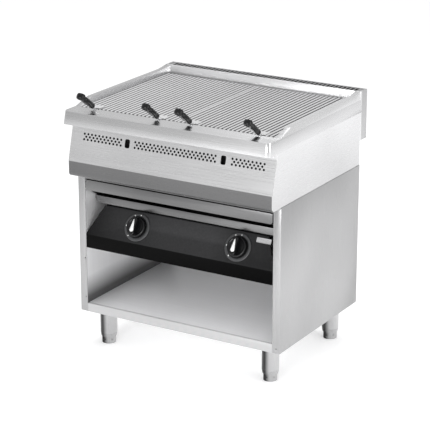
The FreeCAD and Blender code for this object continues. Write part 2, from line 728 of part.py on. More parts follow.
def bezel(sign):
    # pressed ring round the knob with four index dots
    o = knob_origin(sign)
    ring = cyl(o, OUT, BEZEL_R, BEZEL_T).cut(cyl(o - OUT, OUT, BEZEL_IN_R, BEZEL_T + 2))
    top = [e for e in ring.Edges if len(e.Vertexes) == 1 and e.Curve.Radius > BEZEL_R - 1
           and (e.Curve.Center - o).dot(OUT) > BEZEL_T - 0.1]
    ring = ring.makeFillet(2, top)
    for angle in DOT_ANGLES:
        a = math.radians(angle)
        at = o - DOWN * (DOT_AT * math.cos(a)) - V(1, 0, 0) * (DOT_AT * math.sin(a))
        ring = ring.fuse(cyl(at + OUT * (BEZEL_T - 0.5), OUT, DOT_R, 1.0))
    return ring


def console_panel():
    # folded panel: vertical fascia, steep knob slope with slanted ends, short top return
    path = [(CAB_FRONT_Y, FASCIA_Z), (CAB_FRONT_Y, BEND_Z), (CONSOLE_TOP_Y, CONSOLE_Z),
            (CONSOLE_TOP_Y + 14, CONSOLE_Z)]
    points, radii = bent_face(path[::-1], SHEET, [0, 2, 3, 0])
    body = prism_x(points, -CAB_IN, CAB_IN, radii)
    bend = BEND_Z + 4
    for side in (-1, 1):
        pts = [V(side * (CAB_IN + 1), 0, bend), V(side * (CAB_IN - CONSOLE_CUT), 0, CONSOLE_Z),
               V(side * (CAB_IN - CONSOLE_CUT), 0, CONSOLE_Z + 9), V(side * (CAB_IN + 1), 0, CONSOLE_Z + 9)]
        body = body.cut(plate(pts, [0] * 4, V(0, CONSOLE_TOP_Y + 60, 0)))
    for sign in (-1, 1):
        body = body.cut(cyl(knob_origin(sign) - OUT * 10, OUT, 6.5, 20))
    return body


def badge_plate():
    x = CAB_IN - BADGE_SIDE
    mid = V(x, CONSOLE_TOP_Y, CONSOLE_Z) + DOWN * BADGE_DOWN
    pts = [mid + V(sx * BADGE_W / 2, 0, 0) + DOWN * (sy * BADGE_H / 2)
           for sx, sy in ((-1, -1), (1, -1), (1, 1), (-1, 1))]
    return plate(pts, [2] * 4, OUT * 0.8)


def cabinet_ceiling():
    # shelf that closes the gas space off from the open cabinet
    return box(-CAB_IN, CAB_IN, CAB_FRONT_Y + SHEET, BACK_Y, FASCIA_Z, FASCIA_Z + SHEET)


def drawer_front():
    # folded front with rounded lower corners and two side wings that carry the tray
    top = WORK_H - FRONT_TOP_DROP
    half = CAB_IN - FRONT_GAP
    y = CAB_FRONT_Y
    pts = [V(-half, y, top - FRONT_H), V(half, y, top - FRONT_H), V(half, y, top), V(-half, y, top)]
    face = plate(pts, [10, 10, 0, 0], V(0, SHEET, 0))
    parts = [face, box(-half, half, y + 0.5, y + 13, top - SHEET, top)]
    arm_x = CAB_IN - ARM_SIDE
    arm_low = TRAY_Z
    arm = [(y + 0.5, top - FRONT_H + 4), (TRAY_FRONT_Y + SHEET, arm_low), (TRAY_FRONT_Y + 34, arm_low),
           (TRAY_FRONT_Y + 34, arm_low + 12), (y + 16, top - 8), (y + 0.5, top - 8)]
    for side in (-1, 1):
        x0, x1 = sorted((side * arm_x, side * (arm_x - ARM_T)))
        parts.append(prism_x(arm, x0, x1))
    return fuse(parts)


def drip_tray():
    # shallow pan with side rims that run in the rails and a flat front face
    half = CAB_IN - TRAY_SIDE
    z0, z1 = TRAY_Z - TRAY_DEEP, TRAY_Z
    y0, y1 = TRAY_FRONT_Y, REAR_Y - TRAY_REAR_GAP + 50
    pan = box(-half, half, y0, y1, z0, z1)
    pan = pan.cut(box(-half + SHEET, half - SHEET, y0 + SHEET, y1 - SHEET, z0 + SHEET, z1 + 1))
    rims = [box(half - 0.5, half + TRAY_RIM, y0 + 2, y1, z1 - SHEET, z1),
            box(-half - TRAY_RIM, -half + 0.5, y0 + 2, y1, z1 - SHEET, z1)]
    w = CAB_IN - FACE_SIDE
    pts = [V(-w, y0, z0), V(w, y0, z0), V(w, y0, z1), V(-w, y0, z1)]
    face = plate(pts, [9, 9, 0, 0], V(0, SHEET, 0))
    return fuse([pan, face] + rims)


def runner(sign):
    # folded rail on the inner wall, the tray rim slides between its two lips
    x = CAB_IN
    lip = TRAY_Z - SHEET - SLIDE_GAP
    low, high = lip - 1.5, TRAY_Z + 1.0
    body = box(x - 1.5, x, RUNNER_Y, BACK_Y - 6, low - 12, high + 1.5)
    parts = [body, box(x - 15, x - 1, RUNNER_Y, BACK_Y - 6, low, lip),
             box(x - 11, x - 1, RUNNER_Y, BACK_Y - 6, high, high + 1.5)]
    whole = fuse(parts)
    return whole if sign > 0 else mirror_x(whole)


def cabinet_side_outer(sign):
    # outer skin folded round the front stile, the rear flange and the top flange
    t = SHEET
    z0, z1 = LEG_H + 1, BODY_Z
    y0, y1 = CAB_FRONT_Y, REAR_Y
    stile = box(CAB_IN, CAB_X, y0, y0 + t, z0, z1)
    parts = [box(CAB_X - t, CAB_X, y0, y1, z0, z1), stile,
             box(CAB_IN, CAB_X, y1 - t, y1, z0, z1), box(CAB_IN + t, CAB_X, y0, y1, z1 - t, z1),
             box(CAB_IN + t, CAB_X, y0, y1, z0, z0 + t)]
    whole = fuse(parts)
    if sign > 0:
        hole = cyl(V(CAB_X - 13.5, y0 - 2, z0 + 16), V(0, 1, 0), 2.2, 6)
        return whole.cut(hole)
    for rise in (FLOOR_Z + 23, FLOOR_Z + 167):
        whole = whole.cut(cyl(V(CAB_IN + 6, y0 - 2, rise), V(0, 1, 0), 2.2, 6))
    return mirror_x(whole)


def cabinet_side_inner(sign):
    whole = box(CAB_IN, CAB_IN + SHEET, CAB_FRONT_Y + SHEET, BACK_Y, LEG_H + 2.5, BODY_Z - 2 * SHEET)
    return whole if sign > 0 else mirror_x(whole)


def cabinet_floor():
    # floor pan with a deep front rail and folded rear edge
    t = SHEET
    parts = [box(-CAB_IN, CAB_IN, CAB_FRONT_Y, BACK_Y, FLOOR_Z - t, FLOOR_Z),
             box(-CAB_IN, CAB_IN, CAB_FRONT_Y, CAB_FRONT_Y + t, LEG_H, FLOOR_Z),
             box(-CAB_IN, CAB_IN, CAB_FRONT_Y, CAB_FRONT_Y + 16, LEG_H, LEG_H + t),
             box(-CAB_IN, CAB_IN, BACK_Y - t, BACK_Y, LEG_H + 2, FLOOR_Z)]
    return fuse(parts)


def cabinet_back():
    # plain back sheet with the hole for the gas inlet
    at = manifold_axis()
    back = box(-CAB_X + SHEET, CAB_X - SHEET, BACK_Y, BACK_Y + SHEET, LEG_H + 2.5, BODY_Z - 2 * SHEET)
    return back.cut(cyl(V(CAB_IN - INLET_SIDE + 25, BACK_Y - 2, at.z), V(0, 1, 0), SUPPLY_D / 2, 6))


def front_cross_rail():
    # box rail across the top of the cabinet, above the drawer front
    y0, y1 = CAB_FRONT_Y + 1.5, CAB_FRONT_Y + 25
    rail = box(-CAB_IN, CAB_IN, y0, y1, BODY_Z - 20, BODY_Z)
    return rail.cut(box(-CAB_IN - 1, CAB_IN + 1, y0 + SHEET, y1 - SHEET, BODY_Z - 25, BODY_Z - SHEET))


def leg_places():
    x, rear = CAB_IN - SHEET - LEG_SIDE_GAP - PLATE / 2, DEPTH - LEG_REAR_IN
    return {"front_left": (-x, LEG_FRONT_Y), "front_right": (x, LEG_FRONT_Y),
            "rear_left": (-x, rear), "rear_right": (x, rear)}


def leg(x, y):
    # round tube leg with a top plate and a bored end plug for the foot stud
    top = FLOOR_Z - SHEET
    tube = cyl(V(x, y, FOOT_H), V(0, 0, 1), LEG_D / 2, top - FOOT_H)
    tube = tube.cut(cyl(V(x, y, FOOT_H + 12), V(0, 0, 1), LEG_D / 2 - LEG_WALL, top))
    tube = tube.cut(cyl(V(x, y, FOOT_H - 1), V(0, 0, 1), STUD_D / 2 + RUN_GAP, 20))
    h = PLATE / 2
    flange = box(x - h, x + h, y - h, y + h, top - PLATE_T, top)
    flange = flange.cut(cyl(V(x, y, top - PLATE_T - 1), V(0, 0, 1), LEG_D / 2 - LEG_WALL, PLATE_T + 2))
    return tube.fuse(flange).removeSplitter()


def foot(x, y):
    # screw foot: stud, tapered collar and hexagonal pad with cross holes
    z1 = FOOT_H - 0.3
    stud = cyl(V(x, y, 10), V(0, 0, 1), STUD_D / 2, STUD_L)
    collar = Part.makeCone(FOOT_R, LEG_D / 2 - 0.5, FOOT_TAPER, V(x, y, z1 - FOOT_TAPER))
    pts = [V(x + FOOT_R * math.cos(i * math.pi / 3), y + FOOT_R * math.sin(i * math.pi / 3), 3) for i in range(6)]
    pad = plate(pts, [2] * 6, V(0, 0, z1 - FOOT_TAPER - 2.5))
    base = cyl(V(x, y, 0), V(0, 0, 1), FOOT_R - 3.5, 4)
    body = fuse([stud, collar, pad, base])
    for i in range(3):
        a = math.radians(30 + 60 * i)
        way = V(math.cos(a), math.sin(a), 0)
        body = body.cut(cyl(V(x, y, 15) - way * FOOT_R, way, 2.5, 8))
        body = body.cut(cyl(V(x, y, 15) + way * FOOT_R, -way, 2.5, 8))
    return body


def leg_bolts():
    # four bolts through each leg plate into the cabinet floor
    top = FLOOR_Z - SHEET
    p = BOLT_PITCH / 2
    bolts = []
    for x, y in leg_places().values():
        for sx, sy in ((-1, -1), (1, -1), (1, 1), (-1, 1)):
            head = cyl(V(x + sx * p, y + sy * p, top - PLATE_T - 5), V(0, 0, 1), BOLT_D / 2 + 2.2, 5)
            bolts.append(head)
    return Part.makeCompound(bolts)


def build():
    shapes = {"worktop": worktop(), "flue_duct": flue_duct(), "flue_grille": flue_grille(),
              "front_panel": front_panel(), "broiler_back": broiler_back(),
              "firebox_liner": firebox_liner(), "fat_funnel": fat_funnel(),
              "grate_rest_bar": grate_rest_bar(), "grate_cradle_rail": grate_cradle_rail(),
              "manifold": manifold(), "gas_inlet": gas_inlet(), "console_panel": console_panel(),
              "badge_plate": badge_plate(), "cabinet_ceiling": cabinet_ceiling(),
              "drawer_front": drawer_front(), "drip_tray": drip_tray(),
              "cabinet_floor": cabinet_floor(), "cabinet_back": cabinet_back(),
              "front_cross_rail": front_cross_rail(), "leg_bolts": leg_bolts()}
    for sign, side in ((-1, "left"), (1, "right")):
        shapes["broiler_side_" + side] = broiler_side(sign)
        shapes["grate_" + side] = grate(sign)
        shapes["burner_" + side] = burner(sign)
        shapes["radiant_" + side] = radiant(sign)
        shapes["feed_pipe_" + side] = feed_pipe(sign)
        shapes["valve_body_" + side] = valve_body(sign)
        shapes["valve_plug_" + side] = valve_plug(sign)
        shapes["valve_stem_" + side] = valve_stem(sign)
        shapes["knob_" + side] = knob(sign)
        shapes["knob_pointer_" + side] = knob_pointer(sign)
        shapes["bezel_" + side] = bezel(sign)
        shapes["runner_" + side] = runner(sign)
        shapes["cabinet_side_" + side] = cabinet_side_outer(sign)
        shapes["cabinet_lining_" + side] = cabinet_side_inner(sign)
        inner, outer = handle_xs(sign)
        shapes["grip_" + side + "_inner"] = grip(inner)
        shapes["grip_" + side + "_outer"] = grip(outer)
    for place, (x, y) in leg_places().items():
        shapes["leg_" + place] = leg(x, y)
        shapes["foot_" + place] = foot(x, y)
    return shapes


shapes = build()
reach = Part.makeCompound(list(shapes.values())).BoundBox
shift = V(0, -(reach.YMin + reach.YMax) / 2, 0)
os.makedirs("parts", exist_ok=True)
for name, shape in shapes.items():
    shape.translate(shift)
    shape.exportStep("parts/" + name + ".step")
print(len(shapes), "sub-parts, size", round(reach.XLength, 2), round(reach.YLength, 2),
      round(reach.ZLength, 2), "shift", round(shift.y, 3))
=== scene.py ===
import bmesh
import bpy
import math
from mathutils import Matrix, Vector


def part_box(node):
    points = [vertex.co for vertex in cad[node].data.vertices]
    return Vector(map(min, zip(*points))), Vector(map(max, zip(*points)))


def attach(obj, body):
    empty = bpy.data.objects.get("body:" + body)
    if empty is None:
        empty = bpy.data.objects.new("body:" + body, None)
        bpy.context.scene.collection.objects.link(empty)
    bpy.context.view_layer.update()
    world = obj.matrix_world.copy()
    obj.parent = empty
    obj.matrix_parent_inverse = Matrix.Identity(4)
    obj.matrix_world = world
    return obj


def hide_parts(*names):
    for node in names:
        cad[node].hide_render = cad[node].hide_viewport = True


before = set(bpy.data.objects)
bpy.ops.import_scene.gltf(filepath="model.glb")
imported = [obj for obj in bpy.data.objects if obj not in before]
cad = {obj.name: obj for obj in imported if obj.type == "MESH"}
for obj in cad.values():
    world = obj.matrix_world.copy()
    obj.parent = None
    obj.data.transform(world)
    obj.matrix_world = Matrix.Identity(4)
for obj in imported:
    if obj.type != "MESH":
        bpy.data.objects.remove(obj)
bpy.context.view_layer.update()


# ---- Studio -------------------------------------------------------------------------------
# A pale seamless floor, an even white surround and three soft boxes. The camera stands to the
# right of the appliance's front corner, a little above it, with a long lens.
def studio():
    bm = bmesh.new()
    bmesh.ops.create_grid(bm, x_segments=4, y_segments=4, size=14.0)
    mesh = bpy.data.meshes.new("studio_floor")
    bm.to_mesh(mesh)
    bm.free()
    floor = bpy.data.objects.new("studio_floor", mesh)
    bpy.context.scene.collection.objects.link(floor)
    paint = bpy.data.materials.new("studio_floor_paint")
    paint.use_nodes = True
    shader = paint.node_tree.nodes["Principled BSDF"]
    shader.inputs["Base Color"].default_value = (0.92, 0.92, 0.92, 1)
    shader.inputs["Roughness"].default_value = 0.9
    shader.inputs["Specular IOR Level"].default_value = 0.1
    shader.inputs["Emission Color"].default_value = (1, 1, 1, 1)
    shader.inputs["Emission Strength"].default_value = 0.32
    mesh.materials.append(paint)

    world = bpy.data.worlds.new("studio_surround")
    bpy.context.scene.world = world
    world.use_nodes = True
    nodes, links = world.node_tree.nodes, world.node_tree.links
    coord = nodes.new("ShaderNodeTexCoord")
    split = nodes.new("ShaderNodeSeparateXYZ")
    ramp = nodes.new("ShaderNodeValToRGB")
    ramp.color_ramp.elements[0].position = 0.0
    ramp.color_ramp.elements[0].color = (0.95, 0.95, 0.95, 1)
    ramp.color_ramp.elements[1].position = 1.0
    ramp.color_ramp.elements[1].color = (0.86, 0.86, 0.87, 1)
    links.new(coord.outputs["Generated"], split.inputs[0])
    links.new(split.outputs["Z"], ramp.inputs[0])
    links.new(ramp.outputs[0], nodes["Background"].inputs["Color"])
    nodes["Background"].inputs["Strength"].default_value = 0.8


def soft_box(name, place, aim, size, power):
    data = bpy.data.lights.new(name, "AREA")
    data.shape = "RECTANGLE"
    data.size, data.size_y = size
    data.energy = power
    lamp = bpy.data.objects.new(name, data)
    lamp.location = place
    lamp.rotation_mode = "QUATERNION"
    lamp.rotation_quaternion = (Vector(aim) - Vector(place)).to_track_quat("-Z", "Y")
    bpy.context.scene.collection.objects.link(lamp)


def camera():
    azimuth, elevation = math.radians(30.816), math.radians(18.396)
    distance, aside, above = 6.2651, -0.0068, 0.02135
    look = Vector((-math.sin(azimuth) * math.cos(elevation),
                   math.cos(azimuth) * math.cos(elevation), -math.sin(elevation)))
    right = look.cross(Vector((0, 0, 1))).normalized()
    up = right.cross(look)
    data = bpy.data.cameras.new("camera")
    data.lens = 150.58
    data.sensor_width = 36
    data.clip_end = 100
    eye = bpy.data.objects.new("camera", data)
    target = Vector((0, 0.006709, 0.45))
    eye.location = target - look * distance + right * aside + up * above
    eye.rotation_mode = "QUATERNION"
    eye.rotation_quaternion = look.to_track_quat("-Z", "Y")
    bpy.context.scene.collection.objects.link(eye)
    bpy.context.scene.camera = eye


studio()
soft_box("soft_box_top", (-0.6, 0.6, 3.8), (0, 0, 0.6), (3.0, 2.0), 46)
soft_box("soft_box_right", (3.8, -0.4, 1.7), (0.4, 0, 0.5), (1.6, 2.4), 34)
soft_box("soft_box_front", (0.5, -3.4, 1.1), (-0.1, 0.1, 0.2), (1.6, 0.7), 40)
camera()
bpy.context.scene.view_settings.view_transform = "Standard"


# ---- Pressed worktop ------------------------------------------------------------------------
# One pressed and polished stainless top: a lip that leans outwards, a flat front strip and two
# raised side rims. It is welded to the flue upstand and hangs over the broiler's front.
def brushed(name, tone, rough, grain, cloud=0.04, hair=0.05, metal=1.0):
    """Brushed sheet: hairlines along one axis, slow cloudy changes of tone, tiny scratches."""
    along, across = 6.0, 620.0  # noise cells in a metre
    mat = bpy.data.materials.new(name)
    mat.use_nodes = True
    nodes, links = mat.node_tree.nodes, mat.node_tree.links
    shader = nodes["Principled BSDF"]
    shader.inputs["Metallic"].default_value = metal
    coord = nodes.new("ShaderNodeTexCoord")
    lay = nodes.new("ShaderNodeMapping")
    lay.inputs["Scale"].default_value = [along if axis == grain else across for axis in "xyz"]
    lines = nodes.new("ShaderNodeTexNoise")
    lines.inputs["Scale"].default_value = 1.0
    lines.inputs["Detail"].default_value = 3.0
    haze = nodes.new("ShaderNodeTexNoise")
    haze.inputs["Scale"].default_value = 2.3
    haze.inputs["Detail"].default_value = 1.5
    links.new(coord.outputs["Object"], lay.inputs["Vector"])
    links.new(lay.outputs[0], lines.inputs["Vector"])
    links.new(coord.outputs["Object"], haze.inputs["Vector"])
    tint = nodes.new("ShaderNodeValToRGB")
    tint.color_ramp.elements[0].position, tint.color_ramp.elements[1].position = 0.3, 0.7
    low, high = tone - cloud, tone + cloud
    tint.color_ramp.elements[0].color = (low, low, low * 1.008, 1)
    tint.color_ramp.elements[1].color = (high, high, high * 1.008, 1)
    links.new(haze.outputs["Fac"], tint.inputs[0])
    streak = nodes.new("ShaderNodeValToRGB")
    streak.color_ramp.elements[0].position, streak.color_ramp.elements[1].position = 0.32, 0.68
    streak.color_ramp.elements[0].color = (1 - hair, 1 - hair, 1 - hair, 1)
    streak.color_ramp.elements[1].color = (1, 1, 1, 1)
    links.new(lines.outputs["Fac"], streak.inputs[0])
    both = nodes.new("ShaderNodeMix")
    both.data_type, both.blend_type = "RGBA", "MULTIPLY"
    both.inputs[0].default_value = 1.0
    links.new(tint.outputs[0], both.inputs[6])
    links.new(streak.outputs[0], both.inputs[7])
    links.new(both.outputs[2], shader.inputs["Base Color"])
    gloss = nodes.new("ShaderNodeMapRange")
    gloss.inputs["From Min"].default_value, gloss.inputs["From Max"].default_value = 0.3, 0.7
    gloss.inputs["To Min"].default_value = rough * 0.85
    gloss.inputs["To Max"].default_value = rough * 1.2
    links.new(lines.outputs["Fac"], gloss.inputs["Value"])
    links.new(gloss.outputs[0], shader.inputs["Roughness"])
    bump = nodes.new("ShaderNodeBump")
    bump.inputs["Strength"].default_value = 0.06
    bump.inputs["Distance"].default_value = 0.0003
    links.new(lines.outputs["Fac"], bump.inputs["Height"])
    links.new(bump.outputs[0], shader.inputs["Normal"])
    return mat


def painted_light_along(mat, axis, stops):
    """Paints light and shade into a finish along one axis, by stops of (place in metres, share of
    the tone).
    """
    nodes, links = mat.node_tree.nodes, mat.node_tree.links
    shader = nodes["Principled BSDF"]
    old = shader.inputs["Base Color"].links[0].from_socket
    coord = nodes.new("ShaderNodeTexCoord")
    split = nodes.new("ShaderNodeSeparateXYZ")
    span = nodes.new("ShaderNodeMapRange")
    first, last = stops[0][0], stops[-1][0]
    span.inputs["From Min"].default_value, span.inputs["From Max"].default_value = first, last
    ramp = nodes.new("ShaderNodeValToRGB")
    while len(ramp.color_ramp.elements) < len(stops):
        ramp.color_ramp.elements.new(0.5)
    for element, (place, share) in zip(ramp.color_ramp.elements, stops):
        element.position = (place - first) / (last - first)
        element.color = (share, share, share, 1)
    mix = nodes.new("ShaderNodeMix")
    mix.data_type, mix.blend_type = "RGBA", "MULTIPLY"
    mix.inputs[0].default_value = 1.0
    links.new(coord.outputs["Object"], split.inputs[0])
    links.new(split.outputs[axis], span.inputs["Value"])
    links.new(span.outputs[0], ramp.inputs[0])
    links.new(old, mix.inputs[6])
    links.new(ramp.outputs[0], mix.inputs[7])
    links.new(mix.outputs[2], shader.inputs["Base Color"])
    return mat


def dress(node, mat):
    """A CAD node that keeps its shape gets its finish."""
    mesh = cad[node].data
    mesh.materials.clear()
    mesh.materials.append(mat)
    for face in mesh.polygons:
        face.material_index = 0


def softened(node, body, mat, width, steps=2, crease=30):
    """A CAD node's folded sheet, its edges rounded over as bending and deburring leave them."""
    bm = bmesh.new()
    bm.from_mesh(cad[node].data)
    bmesh.ops.remove_doubles(bm, verts=bm.verts, dist=1e-6)
    bmesh.ops.dissolve_limit(bm, angle_limit=math.radians(0.5), verts=bm.verts, edges=bm.edges)
    edges = [e for e in bm.edges if len(e.link_faces) == 2
             and e.calc_face_angle(0) > math.radians(crease)]
    bmesh.ops.bevel(bm, geom=edges, offset=width, segments=steps, profile=0.5, affect="EDGES",
                    material=-1, clamp_overlap=True)
    settle(bm, node + "_sheet", body, mat, [node])


def settle(bm, name, body, mat, stands_for=(), angle=32):
    """Turns a finished bmesh into a piece on its body."""
    mesh = bpy.data.meshes.new(name)
    bm.to_mesh(mesh)
    bm.free()
    mesh.materials.append(mat)
    for face in mesh.polygons:
        face.use_smooth = True
        face.material_index = 0
    mesh.set_sharp_from_angle(angle=math.radians(angle))
    piece = bpy.data.objects.new(name, mesh)
    bpy.context.scene.collection.objects.link(piece)
    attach(piece, body)
    if stands_for:
        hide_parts(*stands_for)


top_steel = brushed("worktop_steel", 0.68, 0.24, "x")
low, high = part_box("worktop")
# Painted light and shade: the top is painted lighter towards its right end, and the lip below the
# front strip is painted darker than the strip.
painted_light_along(top_steel, "X", [(low[0], 0.88), (0.0, 1.04), (high[0] - 0.08, 1.28), (high[0], 1.20)])
strip = high[2] - 0.0264  # just over the flat front strip
painted_light_along(top_steel, "Z", [(low[2], 0.84), (strip - 0.0025, 0.84), (strip - 0.0008, 1.0),
                        (high[2], 1.0)])
softened("worktop", "frame", top_steel, 0.0010, 2, 50)


# ---- Flue upstand and its vent strip --------------------------------------------------------
# Welded sheet box behind the grates. Cross slats close its top, dark between them.
flue_steel = brushed("flue_steel", 0.80, 0.34, "x", 0.02, 0.03, metal=0.6)
low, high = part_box("flue_duct")
# Painted light and shade: the duct's front face keeps the full tone, and the faces behind it are
# painted darker as shade.
painted_light_along(flue_steel, "Y", [(low[1], 1.0), (low[1] + 0.004, 1.0), (low[1] + 0.012, 0.62),
                         (high[1], 0.60)])
softened("flue_duct", "frame", flue_steel, 0.0008)
dress("flue_grille", brushed("vent_steel", 0.42, 0.34, "y"))


# ---- Broiler body ---------------------------------------------------------------------------
# Folded front panel with round air holes and two sight slots, flat side sheets, rear sheet.
front_steel = brushed("front_panel_steel", 0.66, 0.3, "x")
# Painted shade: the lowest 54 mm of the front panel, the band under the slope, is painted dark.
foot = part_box("front_panel")[0][2]
painted_shade_band = [(foot, 0.24), (foot + 0.0535, 0.26), (foot + 0.0555, 1.0), (foot + 0.2, 1.0)]
dress("front_panel", painted_light_along(front_steel, "Z", painted_shade_band))
side_steel = brushed("side_sheet_steel", 0.58, 0.27, "y", 0.06)
low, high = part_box("broiler_side_right")
# Painted light: the side sheets are painted lighter overall, and lighter still towards the top.
painted_light_along(side_steel, "Z", [(low[2], 1.12), (low[2] + 0.10, 1.26), (high[2], 1.38)])
for side in ("left", "right"):
    dress("broiler_side_" + side, side_steel)
dress("broiler_back", brushed("rear_sheet_steel", 0.44, 0.3, "x"))


# ---- Firebox --------------------------------------------------------------------------------
# Heat lining, funnel, radiant plates and burners: folded and welded stainless sheet and tube,
# painted near-black and dark grey as the shade under the grates. The funnel leads the fat down to
# the drawer.
# Painted shade: the firebox steel is near-black for the shade under the grates.
firebox_shade_steel = brushed("firebox_painted_shade_steel", 0.04, 0.55, "x", 0.02, 0.2, metal=0.7)
for node in ("firebox_liner", "radiant_left", "radiant_right", "burner_left", "burner_right"):
    dress(node, firebox_shade_steel)
dress("fat_funnel", brushed("funnel_steel", 0.10, 0.42, "z"))


# ---- Grates ---------------------------------------------------------------------------------
# Bright round steel bars welded on three cross rods. The grates rest on a ledge at the front
# and in open hooks at the rear. Their tops are painted bright as light and their undersides
# near-black as shade.
bar_steel = brushed("grate_bar_steel", 0.84, 0.22, "y")
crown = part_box("grate_left")[1][2]
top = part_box("worktop")[1][2] - 0.0264  # highest line of the bars
# Painted light and shade: only the top 3 mm of each bar is bright, and from 5 mm below the top down
# it is near-black.
painted_light_along(bar_steel, "Z", [(top - 0.030, 0.03), (top - 0.0050, 0.05), (top - 0.0032, 0.55),
                        (top - 0.0010, 1.12), (crown, 1.12)])
for node in ("grate_left", "grate_right", "grate_rest_bar", "grate_cradle_rail"):
    dress(node, bar_steel)


# ---- Lifting handles ------------------------------------------------------------------------
# Black bakelite, a hard glossy phenolic plastic with a faint flow mottle. Each handle is moulded
# round a steel core on its grate's tang, two to a grate.
def moulded(name, colour, rough):
    mat = bpy.data.materials.new(name)
    mat.use_nodes = True
    nodes, links = mat.node_tree.nodes, mat.node_tree.links
    shader = nodes["Principled BSDF"]
    shader.inputs["Specular IOR Level"].default_value = 0.6
    coord = nodes.new("ShaderNodeTexCoord")
    flow = nodes.new("ShaderNodeTexNoise")
    flow.inputs["Scale"].default_value = 160.0
    flow.inputs["Detail"].default_value = 4.0
    links.new(coord.outputs["Object"], flow.inputs["Vector"])
    tint = nodes.new("ShaderNodeValToRGB")
    tint.color_ramp.elements[0].color = (*[c * 0.8 for c in colour], 1)
    tint.color_ramp.elements[1].color = (*[min(1, c * 1.25) for c in colour], 1)
    links.new(flow.outputs["Fac"], tint.inputs[0])
    links.new(tint.outputs[0], shader.inputs["Base Color"])
    gloss = nodes.new("ShaderNodeMapRange")
    gloss.inputs["To Min"].default_value = rough * 0.8
    gloss.inputs["To Max"].default_value = rough * 1.3
    links.new(flow.outputs["Fac"], gloss.inputs["Value"])
    links.new(gloss.outputs[0], shader.inputs["Roughness"])
    bump = nodes.new("ShaderNodeBump")
    bump.inputs["Strength"].default_value = 0.05
    bump.inputs["Distance"].default_value = 0.0002
    links.new(flow.outputs["Fac"], bump.inputs["Height"])
    links.new(bump.outputs[0], shader.inputs["Normal"])
    return mat


bakelite = moulded("black_bakelite", (0.004, 0.004, 0.0045), 0.24)
bakelite.node_tree.nodes["Principled BSDF"].inputs["Specular IOR Level"].default_value = 0.32


def rounded_off(bm, levels):
    """Replaces a coarse cage by its subdivision surface, as a mould rounds a part off."""
    mesh = bpy.data.meshes.new("mould")
    bm.to_mesh(mesh)
    mould = bpy.data.objects.new("mould", mesh)
    bpy.context.scene.collection.objects.link(mould)
    smooth = mould.modifiers.new("rounding", "SUBSURF")
    smooth.levels = smooth.render_levels = levels
    scene_state = bpy.context.evaluated_depsgraph_get()
    done = bpy.data.meshes.new_from_object(mould.evaluated_get(scene_state))
    bm.clear()
    bm.from_mesh(done)
    bpy.data.objects.remove(mould)
    bpy.data.meshes.remove(mesh)
    bpy.data.meshes.remove(done)


def handle(node, body):
    """One lifting handle: round head with an eye, thick shank, slim neck over the tang's core."""
    head_radius, eye_radius, thick, tilt = 0.0162, 0.0064, 0.0236, math.radians(35)
    shank = ((-0.019, 0.0120), (-0.030, 0.0150), (-0.046, 0.0148), (-0.058, 0.0118),
             (-0.068, 0.0096), (-0.082, 0.0092), (-0.0851, 0.0090))  # (place, half width)
    finished = (0.0305, 0.0982, 0.0206)  # across, along and through the handle
    bm = bmesh.new()
    rim = bmesh.ops.create_circle(bm, segments=8, radius=head_radius)["verts"]
    eye = bmesh.ops.create_circle(bm, segments=8, radius=eye_radius)["verts"]
    bmesh.ops.rotate(bm, verts=rim + eye, cent=(0, 0, 0),
                     matrix=Matrix.Rotation(math.tau / 16, 3, "Z"))
    bmesh.ops.bridge_loops(bm, edges=list({e for v in rim + eye for e in v.link_edges}))
    lower = [e for e in bm.edges if all(v in rim and v.co.y < -0.014 for v in e.verts)]
    for level, half in shank:
        made = bmesh.ops.extrude_edge_only(bm, edges=lower)["geom"]
        row = [g for g in made if isinstance(g, bmesh.types.BMVert)]
        lower = [g for g in made
                 if isinstance(g, bmesh.types.BMEdge) and all(v in row for v in g.verts)]
        for v in row:
            v.co.y = level
            v.co.x = math.copysign(half, v.co.x)
    shell = bmesh.ops.extrude_face_region(bm, geom=bm.faces[:])["geom"]
    front = [g for g in shell if isinstance(g, bmesh.types.BMVert)]
    bmesh.ops.translate(bm, verts=front, vec=(0, 0, thick))
    bmesh.ops.recalc_face_normals(bm, faces=bm.faces)
    rounded_off(bm, 3)
    along = Vector((0, -math.cos(tilt), math.sin(tilt)))
    under = Vector((0, -math.sin(tilt), -math.cos(tilt)))
    for i, size in enumerate(finished):
        reach = [v.co[i] for v in bm.verts]
        share = size / (max(reach) - min(reach))
        bmesh.ops.scale(bm, verts=bm.verts, vec=[share if k == i else 1 for k in range(3)])
    turn = Matrix((Vector((1, 0, 0)), along, under)).transposed().to_4x4()
    bmesh.ops.transform(bm, matrix=turn, verts=bm.verts)
    low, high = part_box(node)
    reach = [(min(v.co[i] for v in bm.verts), max(v.co[i] for v in bm.verts)) for i in range(3)]
    bmesh.ops.translate(bm, verts=bm.verts,
                        vec=[(low[i] + high[i]) / 2 - sum(reach[i]) / 2 for i in range(3)])
    bmesh.ops.recalc_face_normals(bm, faces=bm.faces)
    settle(bm, node + "_moulding", body, bakelite, [node], 60)


for side in ("left", "right"):
    for place in ("inner", "outer"):
        handle(f"grip_{side}_{place}", side + "_grate")


# ---- Control console ------------------------------------------------------------------------
# Folded sheet, stove-enamelled satin black: upright fascia, steep slope for the two knobs. A
# silver plate with a plain raised border is riveted near the right end.
console_black = moulded("console_enamel", (0.034, 0.034, 0.035), 0.36)
console_black.node_tree.nodes["Principled BSDF"].inputs["Specular IOR Level"].default_value = 0.04
